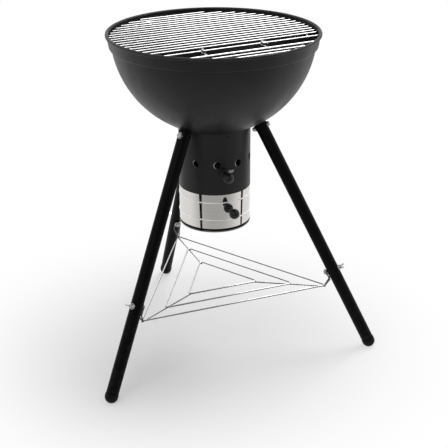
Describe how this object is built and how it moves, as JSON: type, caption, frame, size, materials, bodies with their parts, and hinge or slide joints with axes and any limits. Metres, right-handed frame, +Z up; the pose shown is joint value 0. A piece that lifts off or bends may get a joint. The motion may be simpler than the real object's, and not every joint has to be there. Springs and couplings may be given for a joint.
{
  "type": "kettle charcoal grill",
  "caption": "Kettle charcoal grill: black enamelled bowl on splayed tube legs, hinged wire cooking grate, air tube with sliding damper, steel ash pot and wire rack between the legs.",
  "frame": {"origin": "on the floor, on the vertical axis of the bowl", "axes": "+Z up, -Y is the front with the two ball knobs, +X to the right seen from the front"},
  "size_m": [0.7136, 0.6595, 0.804],
  "materials": {
    "bowl_enamel": "gloss black porcelain enamel",
    "tube_enamel": "gloss black porcelain enamel",
    "leg_paint": "gloss black powder coat",
    "black_screw": "black oxide screw",
    "foot_plastic": "satin black moulding",
    "knob_plastic": "gloss black moulding",
    "chrome_wire": "chrome-plated wire",
    "plain_steel": "plain steel rod",
    "damper_steel": "bright stainless sheet",
    "polished_steel": "polished stainless sheet",
    "zinc": "zinc-plated steel",
    "bright_washer": "bright zinc-plated washer",
    "wing_chrome": "chrome-plated casting"
  },
  "bodies": {
    "stand": {"bowl": "bowl_enamel", "grate_rests": "bowl_enamel", "air_tube": "tube_enamel", "tube_screws": "black_screw", "leg_sockets": "bowl_enamel", "leg_back": "leg_paint", "leg_left": "leg_paint", "leg_right": "leg_paint", "foot_back": "foot_plastic", "foot_left": "foot_plastic", "foot_right": "foot_plastic", "leg_bolts": "zinc", "leg_washers": "bright_washer", "leg_nuts": "zinc", "wire_rack": "chrome_wire", "rack_bolts": "zinc", "rack_washers": "bright_washer", "wing_nuts": "wing_chrome"},
    "grate": {"cooking_grate": "chrome_wire"},
    "flap": {"grate_flap": "chrome_wire"},
    "charcoal": {"charcoal_grate": "plain_steel"},
    "damper": {"damper_sleeve": "damper_steel", "damper_stud": "zinc", "damper_rosette": "knob_plastic", "damper_knob": "knob_plastic"},
    "pot": {"ash_pot": "polished_steel", "pot_stud": "zinc", "pot_rosette": "knob_plastic", "pot_knob": "knob_plastic"}
  },
  "joints": [
    {"name": "grate_lift", "type": "slide", "parent": "stand", "child": "grate", "axis": [0, 0, 1], "range_m": [0, 0.25]},
    {"name": "flap_turn", "type": "hinge", "parent": "grate", "child": "flap", "pos_m": [0.01131, -0.11746, 0.793], "axis": [-0.9954, -0.0958, 0], "range_deg": [0, 170]},
    {"name": "charcoal_lift", "type": "slide", "parent": "stand", "child": "charcoal", "axis": [0, 0, 1], "range_m": [0, 0.12]},
    {"name": "damper_turn", "type": "hinge", "parent": "stand", "child": "damper", "pos_m": [0, 0, 0.503], "axis": [0, 0, 1], "range_deg": [-2.3, 15.7]},
    {"name": "pot_drop", "type": "slide", "parent": "stand", "child": "pot", "axis": [0, 0, -1], "range_m": [0, 0.12]}
  ]
}
